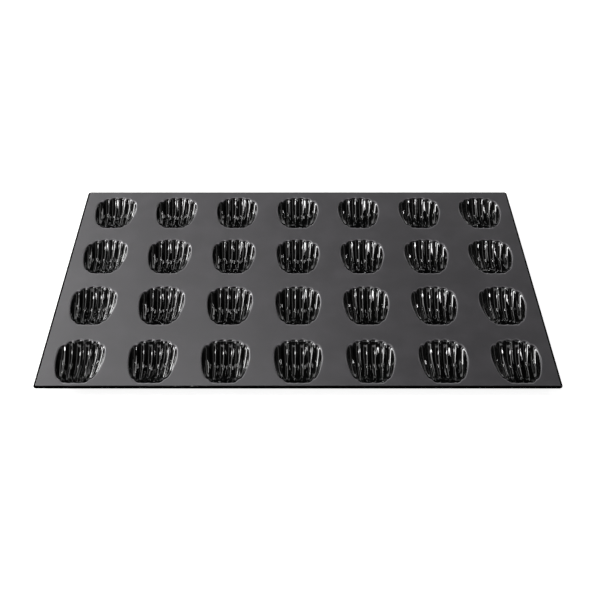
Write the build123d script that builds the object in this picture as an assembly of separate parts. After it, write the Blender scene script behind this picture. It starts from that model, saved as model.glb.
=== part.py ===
from build123d import *
import os

import numpy as np

# Baker's sheet for 28 madeleines: one sheet of coated steel, pressed with four rows
# of seven fluted shells, its four edges curled down and round a stiffening wire.
# X runs along the long side, Y from the front edge to the back, Z up. The origin is
# on the table, under the middle of the sheet; the shells' undersides rest there.

# Sheet
sheet_length = 600.0
sheet_width = 400.0
sheet_thickness = 0.7
corner_radius = 4.0

# Curled edge and the wire inside it
curl_diameter = 3.2
curl_turn = 300.0
wire_clearance = 0.05

# Grid of shells
columns = 7
rows = 4
column_pitch = 84.9
row_pitch = 101.3
grid_forward = 3.6

# One shell, seen from above: the narrow end faces the front edge
shell_width = 56.0
shell_length = 75.0
narrow_end_width = 31.4
widest_past_middle = 4.0
ridge_depth = 15.0
flute_depth = 3.0
ridge_softness_share = 0.35
rim_rounding = 1.8
land_margin_side = 3.0
land_margin_end = 3.0

# The flutes fan out from a point this far in front of the shell's widest place
fan_distance = 345.0
flutes_per_side = 3
ridge_shares = (0.0, 0.37, 0.68, 1.0)
narrow_flute_share = 0.2

# Powers of the bowl's curves: across, towards the wide end, towards the narrow end,
# and of the outline's taper
power_across = 2.3
power_wide_end = 2.3
power_narrow_end = 1.9
power_taper = 1.7

# Stations of the pressed surface across each flute, across each land, and lengthwise,
# and how far the lengthwise ones crowd towards both ends
stations_per_flute = 8
stations_per_land = 4
stations_lengthwise = 36
end_crowding_share = 0.5

curl_radius = curl_diameter / 2
wire_radius = curl_radius - sheet_thickness - wire_clearance
land_width = shell_width + 2 * land_margin_side
land_length = shell_length + 2 * land_margin_end


def smooth_step(share):
    """Rises from 0 to 1 with level ends: 3s^2 - 2s^3, held outside 0 to 1."""
    s = np.clip(share, 0, 1)
    return s * s * (3 - 2 * s)


def flute_wave(fan_place):
    """0 on a ridge and 1 in the bottom of a flute, from the place across the fan.

    The wave is |sin| of the flute count, with its sharp ridges rounded off.
    """
    count = np.interp(np.abs(fan_place), ridge_shares, range(flutes_per_side + 1))
    wave = np.hypot(np.sin(np.pi * count), ridge_softness_share)
    crest = np.hypot(1, ridge_softness_share)
    return (wave - ridge_softness_share) / (crest - ridge_softness_share)


def shell_depth(fan_place, x, y):
    """Depth of the pressed surface under the deck, about the shell's own middle.

    The bowl is 1 - X^a - Y^b towards the wide end and (1 - X^a)(1 - Y^c) towards the
    narrow end, X and Y being the shares of the way to the rim. The flutes deepen it,
    and a parabolic bend rounds the rim into the flat land.
    """
    half_width = shell_width / 2
    narrow_slope = ridge_depth * power_narrow_end / (shell_length / 2 + widest_past_middle)
    wide_slope = ridge_depth * power_wide_end / (shell_length / 2 - widest_past_middle)
    narrow_reach = shell_length / 2 + widest_past_middle
    narrow_reach -= narrow_flute_share * flute_depth / narrow_slope
    wide_reach = shell_length / 2 - widest_past_middle - flute_depth / wide_slope
    past_widest = y - widest_past_middle
    to_narrow = np.clip(-past_widest / narrow_reach, 0, None)
    to_wide = np.clip(past_widest / wide_reach, 0, None)
    taper = (1 - narrow_end_width / shell_width) * np.clip(to_narrow, 0, 1) ** power_taper
    across = (np.abs(x) / (half_width * (1 - taper))) ** power_across
    along = to_wide ** power_wide_end + to_narrow ** power_narrow_end
    corner = np.where(to_narrow > 0, np.clip(1 - across, 0, 1) * np.clip(1 - along, 0, 1), 0)
    inside_narrow = (to_narrow > 0) & (across < 1) & (along < 1)
    bowl = np.where(inside_narrow, corner, 1 - across - along)
    outside_narrow = (to_narrow > 0) & ~inside_narrow
    bowl = np.where(outside_narrow, np.minimum(1 - across, 1 - along), bowl)
    reach_share = (y + shell_length / 2) / (shell_length / 2 + widest_past_middle)
    fade = narrow_flute_share + (1 - narrow_flute_share) * smooth_step(reach_share)
    depth = ridge_depth * bowl + flute_depth * fade * flute_wave(fan_place)
    bend = (depth + rim_rounding) ** 2 / (4 * rim_rounding)
    return np.where(depth > rim_rounding, depth, np.where(depth > -rim_rounding, bend, 0))


def shell_points():
    """Grid of points on the pressed surface, measured from the flat deck's top.

    Its lengthwise lines fan out with the flutes.
    """
    side_share = 1 + land_margin_side / (shell_width / 2)
    inner = [
        np.linspace(low, high, stations_per_flute, endpoint=False)
        for low, high in zip(ridge_shares[:-1], ridge_shares[1:])
    ]
    outer = np.linspace(1, side_share, stations_per_land)
    half = np.concatenate(inner + [outer])
    fan_place = np.concatenate([-half[:0:-1], half])
    along = np.linspace(0, 1, stations_lengthwise)
    crowded = (1 - np.cos(np.pi * along)) / 2
    y = land_length * (along + end_crowding_share * (crowded - along) - 0.5)
    fan_place, y = np.meshgrid(fan_place, y, indexing="ij")
    fan = (fan_distance + y - widest_past_middle) / fan_distance
    flute_x = np.clip(fan_place, -1, 1) * shell_width / 2 * fan
    land_share = np.clip((np.abs(fan_place) - 1) / (side_share - 1), 0, 1)
    land_x = np.sign(fan_place) * land_width / 2
    x = flute_x + (land_x - flute_x) * land_share
    return np.stack([x, y, -shell_depth(fan_place, x, y)], axis=-1)


# The deck's height is what lets the deepest flutes rest on the table
pressed_grid = shell_points()
deck_top = sheet_thickness - float(pressed_grid[..., 2].min())
deck_underside = deck_top - sheet_thickness


def make_shell():
    """One fluted shell with its flat rectangular land, about its own middle.

    Crosswise sections are joined lengthwise by straight lines. The sheet keeps its
    thickness straight down, so the drawn walls are thinner.
    """
    steps = np.linspace(0, 1, pressed_grid.shape[0]).tolist()
    sections = []
    for line in range(pressed_grid.shape[1]):
        upper = [Vector(x, y, deck_top + z) for x, y, z in pressed_grid[:, line].tolist()]
        lower = [point - Vector(0, 0, sheet_thickness) for point in upper]
        upper_curve = Edge.make_spline(upper, parameters=steps)
        lower_curve = Edge.make_spline(lower, parameters=steps)
        right = Edge.make_line(upper[-1], lower[-1])
        left = Edge.make_line(lower[0], upper[0])
        sections.append(Wire([upper_curve, right, lower_curve, left]))
    return Solid.make_loft(sections, ruled=True)


def shell_places():
    """Name, x and y of every shell: rows count from the front, columns from the left."""
    places = []
    for row in range(rows):
        for column in range(columns):
            x = (column - (columns - 1) / 2) * column_pitch
            y = (row - (rows - 1) / 2) * row_pitch - grid_forward
            places.append((f"shell_r{row + 1}_c{column + 1}", x, y))
    return places


def make_deck():
    """The flat of the sheet between the shells' lands, up to where the curls begin."""
    outline = RectangleRounded(
        sheet_length - curl_diameter,
        sheet_width - curl_diameter,
        corner_radius - curl_radius,
    )
    windows = [Pos(x, y) * Rectangle(land_width, land_length) for _, x, y in shell_places()]
    return extrude(Pos(0, 0, deck_underside) * (outline - windows), sheet_thickness)


def curl_profile():
    """Section of a curl that runs along X, about the curl's middle, in the YZ plane.

    It leaves the deck at the top and turns outwards, down and back in.
    """
    ring = Circle(curl_radius) - Circle(curl_radius - sheet_thickness)
    reach = 2 * curl_radius
    lip_angle = np.radians(curl_turn - 270)
    lip_end = (-reach * np.cos(lip_angle), reach * np.sin(lip_angle))
    gap = make_face(Polyline((0, 0), (0, reach), (-reach, reach), lip_end, close=True))
    return Plane.YZ * (ring - gap)


def make_curl(side_length, half_depth):
    """The curl of the back edge; side_length is the sheet's length along that edge.

    It runs straight and then half-way round the corner at each end.
    """
    straight = side_length - 2 * corner_radius
    profile = Pos(0, half_depth - curl_radius, deck_top - curl_radius) * curl_profile()
    parts = extrude(Pos(-straight / 2, 0, 0) * profile, amount=straight, dir=(1, 0, 0))
    for side, turn in ((1, -45), (-1, 45)):
        corner = (side * straight / 2, half_depth - corner_radius, 0)
        axis = Axis(corner, (0, 0, 1))
        parts += revolve(Pos(side * straight / 2, 0, 0) * profile, axis, turn)
    return parts


def make_wire():
    """The stiffening wire: one closed loop inside the four curls."""
    path = Pos(0, 0, deck_top - curl_radius) * RectangleRounded(
        sheet_length - curl_diameter,
        sheet_width - curl_diameter,
        corner_radius - curl_radius,
    )
    loop = path.wire()
    start = Plane(origin=loop @ 0, z_dir=loop % 0)
    return sweep(start * Circle(wire_radius), path=loop)


def write_all():
    """Builds every piece and writes one file for each."""
    os.makedirs("parts", exist_ok=True)
    shell = make_shell()
    for name, x, y in shell_places():
        export_step(Pos(x, y) * shell, f"parts/{name}.step")
    long_curl = make_curl(sheet_length, sheet_width / 2)
    short_curl = make_curl(sheet_width, sheet_length / 2)
    pieces = {
        "deck": make_deck(),
        "back_edge": long_curl,
        "front_edge": Rot(0, 0, 180) * long_curl,
        "left_edge": Rot(0, 0, 90) * short_curl,
        "right_edge": Rot(0, 0, -90) * short_curl,
        "edge_wire": make_wire(),
    }
    for name, solid in pieces.items():
        export_step(solid, f"parts/{name}.step")


write_all()
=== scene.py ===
import bpy
import numpy as np
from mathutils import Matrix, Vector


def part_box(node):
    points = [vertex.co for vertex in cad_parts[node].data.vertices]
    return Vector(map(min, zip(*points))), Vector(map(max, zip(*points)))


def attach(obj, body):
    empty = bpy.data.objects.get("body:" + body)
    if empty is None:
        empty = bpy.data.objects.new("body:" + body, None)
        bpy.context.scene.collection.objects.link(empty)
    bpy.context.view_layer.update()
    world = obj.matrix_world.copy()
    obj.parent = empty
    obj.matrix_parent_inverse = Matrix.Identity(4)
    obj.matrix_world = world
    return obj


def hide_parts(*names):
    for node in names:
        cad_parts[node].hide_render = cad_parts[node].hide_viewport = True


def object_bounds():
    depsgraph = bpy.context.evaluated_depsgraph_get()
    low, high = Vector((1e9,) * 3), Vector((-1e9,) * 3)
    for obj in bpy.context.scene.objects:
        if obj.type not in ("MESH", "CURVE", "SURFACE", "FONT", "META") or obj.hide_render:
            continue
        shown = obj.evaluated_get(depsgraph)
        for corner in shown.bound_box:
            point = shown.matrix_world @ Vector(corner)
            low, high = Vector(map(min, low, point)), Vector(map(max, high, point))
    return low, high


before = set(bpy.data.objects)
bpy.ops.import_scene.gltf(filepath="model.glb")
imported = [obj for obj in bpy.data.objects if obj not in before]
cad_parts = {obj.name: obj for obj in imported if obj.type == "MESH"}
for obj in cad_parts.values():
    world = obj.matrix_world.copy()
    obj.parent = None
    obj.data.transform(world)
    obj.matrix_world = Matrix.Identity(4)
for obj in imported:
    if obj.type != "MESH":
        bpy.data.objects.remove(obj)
cad_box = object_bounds()

# The deck: the flat of one steel sheet, 0.7 mm thick, left between the pressed shells.
# The sheet is blanked and pressed in one piece and has one black non-stick coating,
# which is made here and which the shells and the curled edges have too.
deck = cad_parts["deck"]
deck_low, deck_high = (np.array(corner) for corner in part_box("deck"))
deck_top = deck_high[2]
sheet_thickness = deck_high[2] - deck_low[2]


def add_node(tree, kind, values=None, links=None):
    """One shader node, its named inputs set to values or linked from other sockets."""
    node = tree.nodes.new(kind)
    for name, value in (values or {}).items():
        node.inputs[name].default_value = value
    for name, socket in (links or {}).items():
        tree.links.new(socket, node.inputs[name])
    return node


def new_material(name):
    """A new material, its node tree, its shader and the place on the object."""
    material = bpy.data.materials.new(name)
    material.use_nodes = True
    tree = material.node_tree
    place = add_node(tree, "ShaderNodeTexCoord").outputs["Object"]
    return material, tree, tree.nodes["Principled BSDF"], place


def noise_of(tree, place, per_metre, detail):
    """A soft noise with this many swells a metre, about 0.5 on average."""
    values = {"Scale": per_metre, "Detail": detail}
    return add_node(tree, "ShaderNodeTexNoise", values, {"Vector": place}).outputs["Fac"]


def ranged(tree, factor, from_low, from_high, to_low, to_high):
    """The factor's range carried over to another range, held at its ends."""
    ends = {"From Min": from_low, "From Max": from_high, "To Min": to_low, "To Max": to_high}
    return add_node(tree, "ShaderNodeMapRange", ends, {"Value": factor}).outputs["Result"]


def reckoned(tree, operation, *sockets):
    """One sum, product, larger value or the like of one or two sockets."""
    node = add_node(tree, "ShaderNodeMath", links=dict(enumerate(sockets)))
    node.operation = operation
    return node.outputs["Value"]


def coloured(tree, factor, first, second):
    """A mix of two colours, the first being a colour or another mix's socket."""
    node = add_node(tree, "ShaderNodeMix", links={"Factor": factor})
    node.data_type = "RGBA"
    if isinstance(first, tuple):
        node.inputs["A"].default_value = first
    else:
        tree.links.new(first, node.inputs["A"])
    node.inputs["B"].default_value = second
    return node.outputs["Result"]


def border_with_painted_shade(tree, place):
    """0 on the deck and 1 on the strip along its border, where the sheet starts to curl; the
    strip gets painted shade.
    """
    border_width = 0.0011
    border_blend = 0.0003
    axes = add_node(tree, "ShaderNodeSeparateXYZ", links={"Vector": place})
    strips = []
    for axis, edge in (("X", deck_high[0]), ("Y", deck_high[1])):
        away = reckoned(tree, "ABSOLUTE", axes.outputs[axis])
        inner = edge - border_width
        strips.append(ranged(tree, away, inner, inner + border_blend, 0, 1))
    return reckoned(tree, "MAXIMUM", *strips)


def coated_steel(name, flat_roughness, drawn_roughness, shine):
    """Black satin non-stick coating on pressed steel.

    Sprayed coating is faintly mottled, has a fine orange-peel skin, and lies on a sheet
    whose flats are never quite flat. In the pressed hollows, on the curls and on a strip
    along the deck's border it is glossier and faintly rippled, and painted near black as
    shade; round each shell's rim a pale ring is a painted highlight.
    Shine is the gloss at a right angle, 0.5 being plain.
    """
    coat_flat = (0.0255, 0.0237, 0.0268, 1.0)
    coat_worn = (0.035, 0.0325, 0.0366, 1.0)
    # Painted shade: near black for the hollows, the strip along the deck's border and the beads
    coat_drawn = (0.0008, 0.0008, 0.0008, 1.0)
    # Painted highlight: a pale ring round each shell's rim
    coat_painted_rim_highlight = (0.11, 0.107, 0.113, 1.0)
    refraction = 1.52

    # Swells a metre and octaves of each noise, and its height where it is a bump
    mottle_per_metre, mottle_detail = 34.0, 4.0
    grain_per_metre, grain_detail, grain_height = 1500.0, 3.0, 0.000004
    ripple_per_metre, ripple_detail, ripple_height = 240.0, 1.0, 0.00009
    buckle_per_metre, buckle_detail, buckle_height = 11.0, 1.0, 0.0006

    # Most of a noise lies between usual_low and usual_high. Wear shows where the mottle
    # is over worn_from, and the roughness swings by the last three.
    usual_low, usual_high = 0.3, 0.7
    worn_from, worn_fully = 0.4, 0.75
    patch_glossier, patch_duller = -0.02, 0.03
    grain_swing = 0.02

    material, tree, shader, place = new_material(name)
    mottle = noise_of(tree, place, mottle_per_metre, mottle_detail)
    grain = noise_of(tree, place, grain_per_metre, grain_detail)
    ripple = noise_of(tree, place, ripple_per_metre, ripple_detail)
    buckle = noise_of(tree, place, buckle_per_metre, buckle_detail)
    stored = {}
    for attribute in ("drawn", "painted_rim_highlight"):
        node = add_node(tree, "ShaderNodeAttribute")
        node.attribute_name = attribute
        stored[attribute] = node.outputs["Fac"]
    drawn = reckoned(tree, "MAXIMUM", stored["drawn"], border_with_painted_shade(tree, place))

    worn = ranged(tree, mottle, worn_from, worn_fully, 0, 1)
    mottled = coloured(tree, worn, coat_flat, coat_worn)
    # The hollows, the border strip and the beads are painted near black as shade, and the rim
    # bends get a painted highlight
    with_painted_shade = coloured(tree, drawn, mottled, coat_drawn)
    colour = coloured(tree, stored["painted_rim_highlight"], with_painted_shade, coat_painted_rim_highlight)
    tree.links.new(colour, shader.inputs["Base Color"])

    gloss = ranged(tree, drawn, 0, 1, flat_roughness, drawn_roughness)
    patches = ranged(tree, mottle, usual_low, usual_high, patch_glossier, patch_duller)
    sparkle = ranged(tree, grain, usual_low, usual_high, -grain_swing, grain_swing)
    roughness = reckoned(tree, "ADD", gloss, reckoned(tree, "ADD", patches, sparkle))
    tree.links.new(roughness, shader.inputs["Roughness"])

    normal = None
    for height, source in (
        (grain_height, grain),
        (ripple_height, reckoned(tree, "MULTIPLY", ripple, drawn)),
        (buckle_height, buckle),
    ):
        size = {"Strength": 1.0, "Distance": height}
        bump = add_node(tree, "ShaderNodeBump", size, {"Height": source})
        if normal:
            tree.links.new(normal, bump.inputs["Normal"])
        normal = bump.outputs["Normal"]
    tree.links.new(normal, shader.inputs["Normal"])
    shader.inputs["Metallic"].default_value = 0.0
    shader.inputs["IOR"].default_value = refraction
    shader.inputs["Specular IOR Level"].default_value = shine
    return material


coating = coated_steel("coated_steel", flat_roughness=0.44, drawn_roughness=0.06, shine=0.5)
deck.data.materials.clear()
deck.data.materials.append(coating)


# The 28 shells: hollows pressed into the sheet by one tool, about 56 by 75 mm at the
# rim and 18 mm deep, each with a flat land round it that runs into the deck. Six
# round-bottomed flutes fan out from the narrow end, which faces the front edge.
shell_width = 0.056
shell_length = 0.075
narrow_end_width = 0.0314
widest_past_middle = 0.004
ridge_depth = 0.015
rim_rounding = 0.0023

# The flutes: how deep, where the ridges between them stand as shares of half the
# width, how round these are, and how soon the flutes deepen from the narrow end
flute_depth = 0.00298
flute_power = 0.6
fan_distance = 0.345
ridge_shares = (0.0, 0.37, 0.68, 1.0)
ridge_softness_share = 0.16
narrow_flute_share = 0.2
flute_rise = 4.0

# Powers of the bowl's curves: across, towards its two ends, of the outline's taper, and
# of the narrow end's corners
power_across = 2.3
power_wide_end = 2.3
power_narrow_end = 2.5
power_taper = 1.7
corner_power = 3.0

# Lines of the grid across each flute, across each land and lengthwise, and how far the
# lengthwise ones crowd towards both ends
stations_per_flute = 15
stations_per_land = 6
stations_lengthwise = 120
end_crowding = 0.5


def smooth_step(share):
    """Rises from 0 to 1 with level ends: 3s^2 - 2s^3, held outside 0 to 1."""
    held = np.clip(share, 0, 1)
    return held * held * (3 - 2 * held)


def flute_wave(fan_place):
    """0 on a ridge and 1 in a flute's bottom: a power of |sin| of the flute count."""
    count = np.interp(np.abs(fan_place), ridge_shares, range(len(ridge_shares)))
    wave = np.hypot(np.sin(np.pi * count), ridge_softness_share) ** flute_power
    ridge = ridge_softness_share ** flute_power
    return (wave - ridge) / (np.hypot(1, ridge_softness_share) ** flute_power - ridge)


def shell_depth(fan_place, x, y):
    """Depth of the pressed surface under the deck, about the shell's own middle.

    The bowl is 1 - X^a - Y^b towards the wide end and 1 - (X^ad + Y^cd)^(1/d) towards
    the narrow end, X and Y being the shares of the way to the rim. The flutes deepen
    it, and a parabolic bend rounds the rim into the flat land.
    """
    narrow_reach = shell_length / 2 + widest_past_middle
    wide_reach = shell_length / 2 - widest_past_middle
    narrow_slope = ridge_depth * power_narrow_end / narrow_reach
    wide_slope = ridge_depth * power_wide_end / wide_reach
    past_widest = y - widest_past_middle
    to_narrow = -past_widest / (narrow_reach - narrow_flute_share * flute_depth / narrow_slope)
    to_narrow = np.clip(to_narrow, 0, None)
    to_wide = np.clip(past_widest / (wide_reach - flute_depth / wide_slope), 0, None)
    taper = (1 - narrow_end_width / shell_width) * np.clip(to_narrow, 0, 1) ** power_taper
    across = (np.abs(x) / (shell_width / 2 * (1 - taper))) ** power_across
    along = to_wide ** power_wide_end + to_narrow ** power_narrow_end
    squared = (across ** corner_power + along ** corner_power) ** (1 / corner_power)
    bowl = np.where(to_narrow > 0, 1 - squared, 1 - across - along)
    from_narrow_end = (y + shell_length / 2) / narrow_reach
    risen = smooth_step(flute_rise * from_narrow_end)
    fade = narrow_flute_share + (1 - narrow_flute_share) * risen
    depth = ridge_depth * bowl + flute_depth * fade * flute_wave(fan_place)
    bend = (depth + rim_rounding) ** 2 / (4 * rim_rounding)
    return np.where(depth > rim_rounding, depth, np.where(depth > -rim_rounding, bend, 0))


def pressed_surface(land_width, land_length):
    """The upper surface of one shell and its land, as a grid from left to right.

    Lines fan out with the flutes inside the shell's width and spread to the land's
    straight sides outside it. Crosswise lines lie closer towards both ends, their
    places being a share minus a part of its sine.
    """
    side_share = land_width / shell_width
    steps = [
        np.linspace(low, high, stations_per_flute, endpoint=False)
        for low, high in zip(ridge_shares[:-1], ridge_shares[1:])
    ]
    half = np.concatenate(steps + [np.linspace(1, side_share, stations_per_land)])
    fan_place = np.concatenate([-half[:0:-1], half])
    along = np.linspace(0, 1, stations_lengthwise)
    crowding = end_crowding * np.sin(2 * np.pi * along) / (2 * np.pi)
    y = (along - crowding - 0.5) * land_length
    fan_place, y = np.meshgrid(fan_place, y, indexing="ij")
    fan = (fan_distance + y - widest_past_middle) / fan_distance
    flute_x = np.clip(fan_place, -1, 1) * shell_width / 2 * fan
    land_share = np.clip((np.abs(fan_place) - 1) / (side_share - 1), 0, 1)
    x = flute_x + (np.sign(fan_place) * land_width / 2 - flute_x) * land_share
    return np.stack([x, y, -shell_depth(fan_place, x, y)], axis=-1)


def grid_quads(columns, rows, first=0):
    """Corner numbers of a grid's quads, whose points run row by row within a column."""
    corner = np.arange(columns - 1)[:, None] * rows + np.arange(rows - 1)[None, :] + first
    quads = np.stack([corner, corner + rows, corner + rows + 1, corner + 1], axis=-1)
    return quads.reshape(-1, 4)


def closed_sheet(upper, thickness):
    """Points and quads of a sheet: the upper grid, the same lowered, and its border."""
    columns, rows = upper.shape[:2]
    count = columns * rows
    lower = upper - np.array([0, 0, thickness])
    points = np.concatenate([upper.reshape(-1, 3), lower.reshape(-1, 3)])
    top = grid_quads(columns, rows)
    bottom = grid_quads(columns, rows, count)[:, ::-1]
    number = np.arange(count).reshape(columns, rows)
    border = np.concatenate(
        [number[:-1, 0], number[-1, :-1], number[:0:-1, -1], number[0, :0:-1]]
    )
    following = np.roll(border, -1)
    rim = np.stack([border, border + count, following + count, following], axis=-1)
    return points, np.concatenate([top, bottom, rim])


def add_piece(name, points, faces, material, replaced):
    """A smooth-shaded mesh piece that stands for a solid and rides with the sheet."""
    sharp_over = 50
    mesh = bpy.data.meshes.new(name)
    mesh.from_pydata(points, [], faces)
    mesh.shade_smooth()
    mesh.set_sharp_from_angle(angle=np.radians(sharp_over))
    mesh.materials.append(material)
    piece = bpy.data.objects.new(name, mesh)
    bpy.context.scene.collection.objects.link(piece)
    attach(piece, "root")
    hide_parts(replaced)
    return piece


def store(mesh, name, values):
    """Keeps one number for each point, for the material to read."""
    attribute = mesh.attributes.new(name, "FLOAT", "POINT")
    attribute.data.foreach_set("value", values.astype(np.float32))


# Depths under the deck: the coating turns glossy and is painted black as shade down to the first.
# A pale painted highlight lies on the bend of the rim, most at the second, and no more at the
# third.
fully_drawn = 0.0018
rim_highlight_start = 0.00008
rim_highlight_end = 0.0005

for node in sorted(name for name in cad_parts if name.startswith("shell_")):
    low, high = (np.array(corner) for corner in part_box(node))
    land = pressed_surface(high[0] - low[0], high[1] - low[1])
    middle = np.array([(low[0] + high[0]) / 2, (low[1] + high[1]) / 2, deck_top])
    points, faces = closed_sheet(land + middle, sheet_thickness)
    piece = add_piece(f"pressed_{node}", points, faces, coating, node)
    depth = np.tile(-land[..., 2].ravel(), 2)
    store(piece.data, "drawn", smooth_step(depth / fully_drawn))
    fading = smooth_step((depth - rim_highlight_start) / (rim_highlight_end - rim_highlight_start))
    store(piece.data, "painted_rim_highlight", smooth_step(depth / rim_highlight_start) * (1 - fading))


# The curled edges: each side of the sheet is rolled outwards, down and back in, round
# a steel wire, to a bead 3.2 mm across. Two curls meet half-way round each corner.
# The coating is duller on the bead than on the rest of the sheet, and the bead is painted near
# black all over as shade.
curl_radius = (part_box("front_edge")[1][2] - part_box("front_edge")[0][2]) / 2
corner_radius = 0.004
curl_turn = np.radians(300)
stations_round = 40
stations_at_corner = 12


def curl_section():
    """Outward and upward places round the bead: the outer arc, then the inner back."""
    turn = np.linspace(0, curl_turn, stations_round)
    arc = np.stack([np.sin(turn), np.cos(turn)], axis=-1)
    return np.concatenate([arc * curl_radius, arc[::-1] * (curl_radius - sheet_thickness)])


def curl_points(half_length, half_depth, quarter):
    """The section carried along one side and half-way round its corners.

    The side is worked out as the back one and turned by quarters about the middle.
    """
    straight = half_length - corner_radius
    half_corner = np.linspace(0, np.pi / 4, stations_at_corner)
    turn = np.concatenate([-half_corner[::-1], half_corner])
    centre_x = np.where(np.arange(turn.size) < stations_at_corner, -straight, straight)
    section = curl_section()
    reach = corner_radius - curl_radius + section[None, :, 0]
    x = centre_x[:, None] + np.sin(turn)[:, None] * reach
    y = half_depth - corner_radius + np.cos(turn)[:, None] * reach
    z = np.broadcast_to(deck_top - curl_radius + section[None, :, 1], x.shape)
    angle = quarter * np.pi / 2
    turned_x = np.cos(angle) * x - np.sin(angle) * y
    turned_y = np.sin(angle) * x + np.cos(angle) * y
    return np.stack([turned_x, turned_y, z], axis=-1)


def tube_faces(stations, around):
    """Quads round a tube whose section closes on itself, and a face at each end."""
    start = np.arange(stations - 1)[:, None] * around
    here = np.arange(around)[None, :]
    there = (here + 1) % around
    after = start + around
    quads = np.stack([start + here, start + there, after + there, after + here], axis=-1)
    first = list(range(around))[::-1]
    last = list(range((stations - 1) * around, stations * around))
    return quads.reshape(-1, 4).tolist() + [first, last]


bead_coating = coated_steel("rolled_coating", flat_roughness=0.6, drawn_roughness=0.5, shine=0.0)
half_length = -cad_box[0][0]
half_width = -cad_box[0][1]
sides = {
    "back_edge": (half_length, half_width, 0),
    "left_edge": (half_width, half_length, 1),
    "front_edge": (half_length, half_width, 2),
    "right_edge": (half_width, half_length, 3),
}
for side, (along, away, quarter) in sides.items():
    ring = curl_points(along, away, quarter)
    stations, around = ring.shape[:2]
    points = ring.reshape(-1, 3)
    faces = tube_faces(stations, around)
    piece = add_piece(f"rolled_{side}", points, faces, bead_coating, side)
    # The whole bead is painted near black as shade.
    store(piece.data, "drawn", np.ones(stations * around))


# The edge wire: bright drawn steel, 1.7 mm thick, closed into one loop and wholly
# inside the curls, where it keeps the sheet from twisting in the oven.
def drawn_wire():
    """Drawn steel: grey metal with a fine grain and a little oil staining."""
    steel_stained = (0.42, 0.41, 0.4, 1.0)
    steel_bright = (0.6, 0.6, 0.61, 1.0)
    stain_per_metre, stain_detail = 60.0, 4.0
    grain_per_metre, grain_detail, grain_height = 2500.0, 2.0, 0.00001
    usual_low, usual_high = 0.3, 0.7
    smoothest, roughest = 0.25, 0.4

    material, tree, shader, place = new_material("drawn_wire")
    stain = noise_of(tree, place, stain_per_metre, stain_detail)
    grain = noise_of(tree, place, grain_per_metre, grain_detail)
    colour = coloured(tree, stain, steel_stained, steel_bright)
    tree.links.new(colour, shader.inputs["Base Color"])
    roughness = ranged(tree, grain, usual_low, usual_high, smoothest, roughest)
    tree.links.new(roughness, shader.inputs["Roughness"])
    size = {"Strength": 1.0, "Distance": grain_height}
    skin = add_node(tree, "ShaderNodeBump", size, {"Height": grain})
    tree.links.new(skin.outputs["Normal"], shader.inputs["Normal"])
    shader.inputs["Metallic"].default_value = 1.0
    return material


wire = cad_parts["edge_wire"]
wire.data.materials.clear()
wire.data.materials.append(drawn_wire())


# The studio: a pale table that sweeps up behind the pan, a white surround that only the
# camera sees, and long lamps. They run along the pan's sides and front as the rails of a
# light table do, so that each flute shows a thin line down both of its walls.
white = (1.0, 1.0, 1.0, 1.0)


def seen_directly(tree):
    """1 for rays from the camera, off gloss or through glass, and 0 for the others."""
    rays = add_node(tree, "ShaderNodeLightPath").outputs
    seen = reckoned(tree, "MAXIMUM", rays["Is Camera Ray"], rays["Is Glossy Ray"])
    return reckoned(tree, "MAXIMUM", seen, rays["Is Transmission Ray"])


def pale_table():
    """A pale board that shows as white, with the pan's own shadow on it."""
    board_darker = (0.5, 0.5, 0.5, 1.0)
    board_lighter = (0.55, 0.55, 0.55, 1.0)
    shades_per_metre, shade_detail = 3.0, 2.0
    roughness = 0.9
    glow_strength = 0.9

    material, tree, shader, place = new_material("pale_table")
    shade = noise_of(tree, place, shades_per_metre, shade_detail)
    colour = coloured(tree, shade, board_darker, board_lighter)
    tree.links.new(colour, shader.inputs["Base Color"])
    glow = ranged(tree, seen_directly(tree), 0, 1, 0, glow_strength)
    tree.links.new(glow, shader.inputs["Emission Strength"])
    shader.inputs["Emission Color"].default_value = white
    shader.inputs["Roughness"].default_value = roughness
    return material


table_front = -2.5
table_half = 3.0
table_height = cad_box[0][2]
sweep_start = 2.0
sweep_radius = 0.6
sweep_top = 1.15
sweep_stations = 13
sweep_turn = np.linspace(0, np.pi / 2, sweep_stations)
sweep_y = sweep_start + sweep_radius * np.sin(sweep_turn)
sweep_z = sweep_radius * (1 - np.cos(sweep_turn))
profile_y = np.concatenate([[table_front], sweep_y, [sweep_start + sweep_radius]])
profile_z = np.concatenate([[0.0], sweep_z, [sweep_top]]) + table_height
table_points = np.empty((profile_y.size, 2, 3))
table_points[..., 0] = (-table_half, table_half)
table_points[..., 1] = profile_y[:, None]
table_points[..., 2] = profile_z[:, None]
table_faces = grid_quads(profile_y.size, 2)[:, ::-1]
table_mesh = bpy.data.meshes.new("table")
table_mesh.from_pydata(table_points.reshape(-1, 3), [], table_faces)
table_mesh.shade_smooth()
table_mesh.materials.append(pale_table())
table = bpy.data.objects.new("table", table_mesh)
bpy.context.scene.collection.objects.link(table)

# White to the camera, and a dim room to every other ray
white_strength = 1.0
room_strength = 0.06
world = bpy.data.worlds.new("studio")
bpy.context.scene.world = world
world.use_nodes = True
tree = world.node_tree
tree.nodes.clear()
rays = add_node(tree, "ShaderNodeLightPath").outputs
shown = add_node(tree, "ShaderNodeBackground", {"Color": white, "Strength": white_strength})
room = add_node(tree, "ShaderNodeBackground", {"Color": white, "Strength": room_strength})
choice = {0: rays["Is Camera Ray"], 1: room.outputs[0], 2: shown.outputs[0]}
mixed = add_node(tree, "ShaderNodeMixShader", links=choice)
add_node(tree, "ShaderNodeOutputWorld", links={"Surface": mixed.outputs[0]})


def lamp_panel(name, place, turned, wide, deep, radiance):
    """A rectangular lamp. One of power P and area A shines with a radiance of P / (pi A)."""
    lamp = bpy.data.lights.new(name, "AREA")
    lamp.shape = "RECTANGLE"
    lamp.size = wide
    lamp.size_y = deep
    lamp.energy = radiance * np.pi * wide * deep
    stand = bpy.data.objects.new(name, lamp)
    stand.location = place
    stand.rotation_euler = turned
    bpy.context.scene.collection.objects.link(stand)


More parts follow.
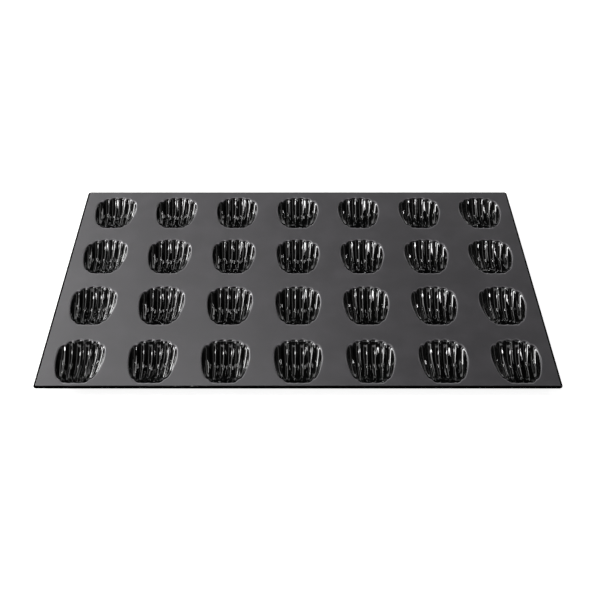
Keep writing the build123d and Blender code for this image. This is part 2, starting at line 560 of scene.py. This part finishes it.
def rail_lamp(name, x, y, height, wide, deep, radiance):
    """A lamp wide along X and deep along Y, tipped about Y to face the pan."""
    lamp_panel(name, (x, y, height), (0, np.arctan2(x, height), 0), wide, deep, radiance)


def standing_lamp(name, azimuth, elevation, distance, wide, tall, radiance):
    """A lamp aimed at the pan's middle; azimuth 0 is behind it, positive to the right."""
    turn, rise = np.radians(azimuth), np.radians(elevation)
    place = (
        distance * np.sin(turn) * np.cos(rise),
        distance * np.cos(turn) * np.cos(rise),
        distance * np.sin(rise) + deck_top,
    )
    lamp_panel(name, place, (np.pi / 2 - rise, 0, np.pi - turn), wide, tall, radiance)


# The rails draw the lines in the flutes. The strips behind and to the left give the deck
# its sheen, brighter on the left, and the small lamp at the front left adds white glints.
rail_lamp("left_rail", x=-0.95, y=0.525, height=1.1, wide=0.25, deep=3.35, radiance=5.0)
rail_lamp("right_rail", x=1.0, y=0.325, height=1.1, wide=0.15, deep=2.95, radiance=2.2)
rail_lamp("front_rail", x=0.0, y=-1.185, height=1.25, wide=2.0, deep=0.13, radiance=2.4)
standing_lamp(
    "back_left_strip", azimuth=-14, elevation=57, distance=2.4, wide=0.06, tall=0.7, radiance=88.0
)
standing_lamp(
    "left_strip", azimuth=-66, elevation=19, distance=1.6, wide=1.7, tall=0.3, radiance=23.0
)
standing_lamp(
    "front_left", azimuth=-122, elevation=50, distance=1.6, wide=0.26, tall=0.26, radiance=38.0
)

# The camera stands 0.8 m above the deck and 0.8 m in front of the pan, looking down at
# it with a slightly long lens.
camera_aside = -0.0021
camera_in_front = 0.8187
camera_above = 0.7994
camera_looks_down = 39.38
camera_data = bpy.data.cameras.new("camera")
camera_data.sensor_width = 36.0
camera_data.lens = 60.55
camera_data.shift_x = 0.0065
camera = bpy.data.objects.new("camera", camera_data)
camera.location = (camera_aside, -half_width - camera_in_front, deck_top + camera_above)
camera.rotation_euler = (np.pi / 2 - np.radians(camera_looks_down), 0, 0)
bpy.context.scene.collection.objects.link(camera)
bpy.context.scene.camera = camera
bpy.context.scene.view_settings.view_transform = "Standard"
